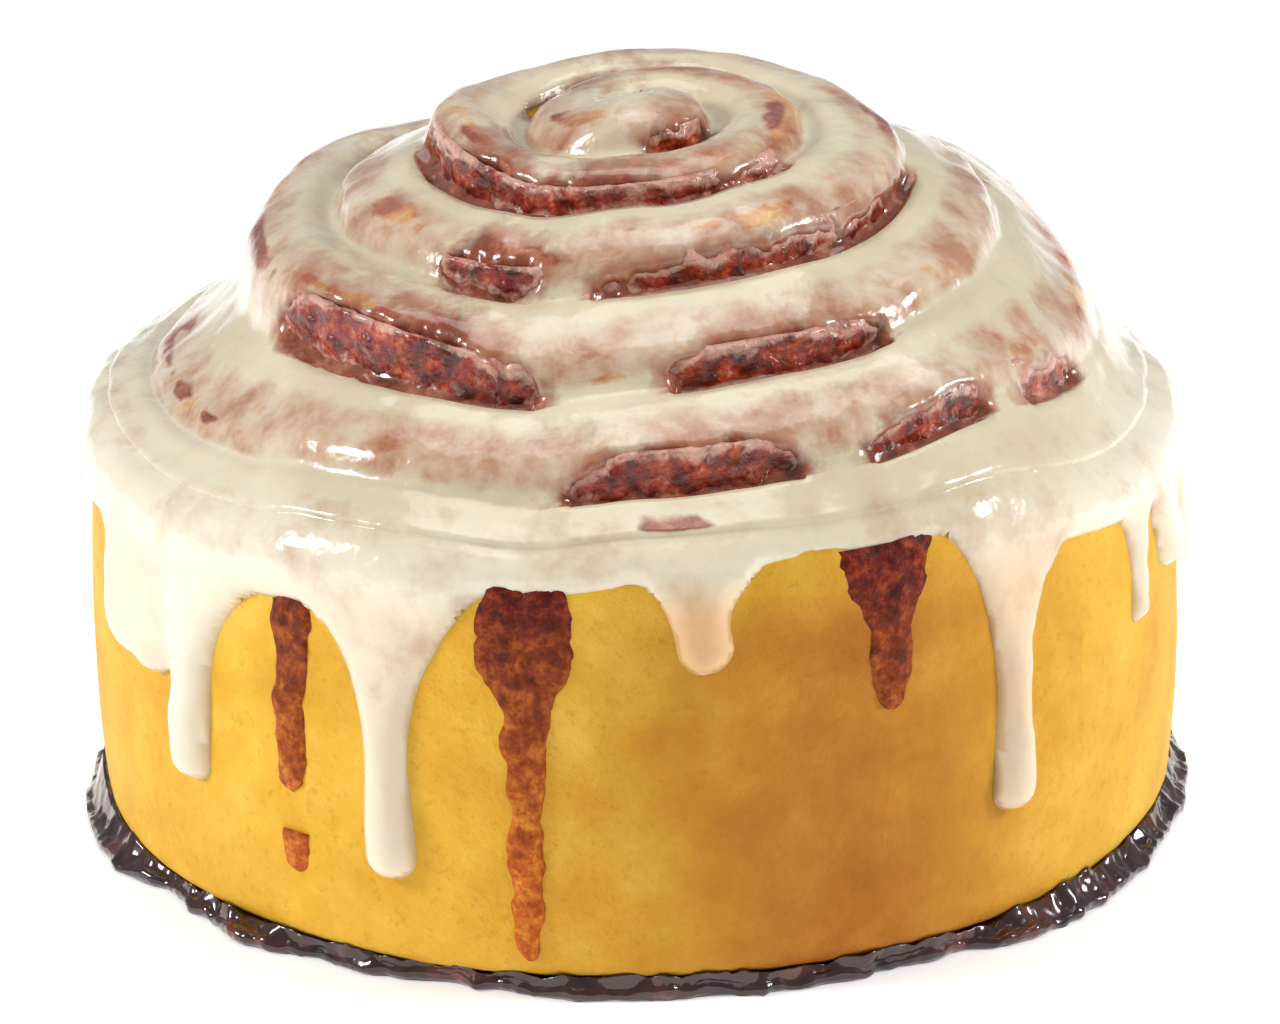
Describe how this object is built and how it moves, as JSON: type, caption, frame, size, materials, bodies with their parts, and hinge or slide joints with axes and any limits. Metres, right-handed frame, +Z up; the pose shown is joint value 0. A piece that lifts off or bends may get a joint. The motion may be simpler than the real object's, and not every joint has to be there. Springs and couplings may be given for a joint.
{
  "type": "cinnamon roll",
  "caption": "Tall domed cinnamon roll of coiled dough with cinnamon filling, dripping icing and a caramel foot.",
  "frame": {"origin": "centre of the flat underside of the caramel foot, on the axis of the dough's coil", "axes": "+Z up, front of the roll at -Y, +X to the right"},
  "size_m": [0.1099, 0.1106, 0.0739],
  "materials": {
    "dough": "soft golden baked dough",
    "filling": "moist granular cinnamon",
    "icing": "glossy cream icing",
    "caramel": "dark glossy set caramel",
    "run": "wet granular cinnamon"
  },
  "bodies": {
    "root": {"dough": "dough", "cinnamon_filling": "filling", "icing": "icing", "caramel_base": "caramel", "cinnamon_run_left": "run", "cinnamon_run_left_drop": "run", "cinnamon_run_middle": "run", "cinnamon_run_right": "run"}
  },
  "joints": []
}
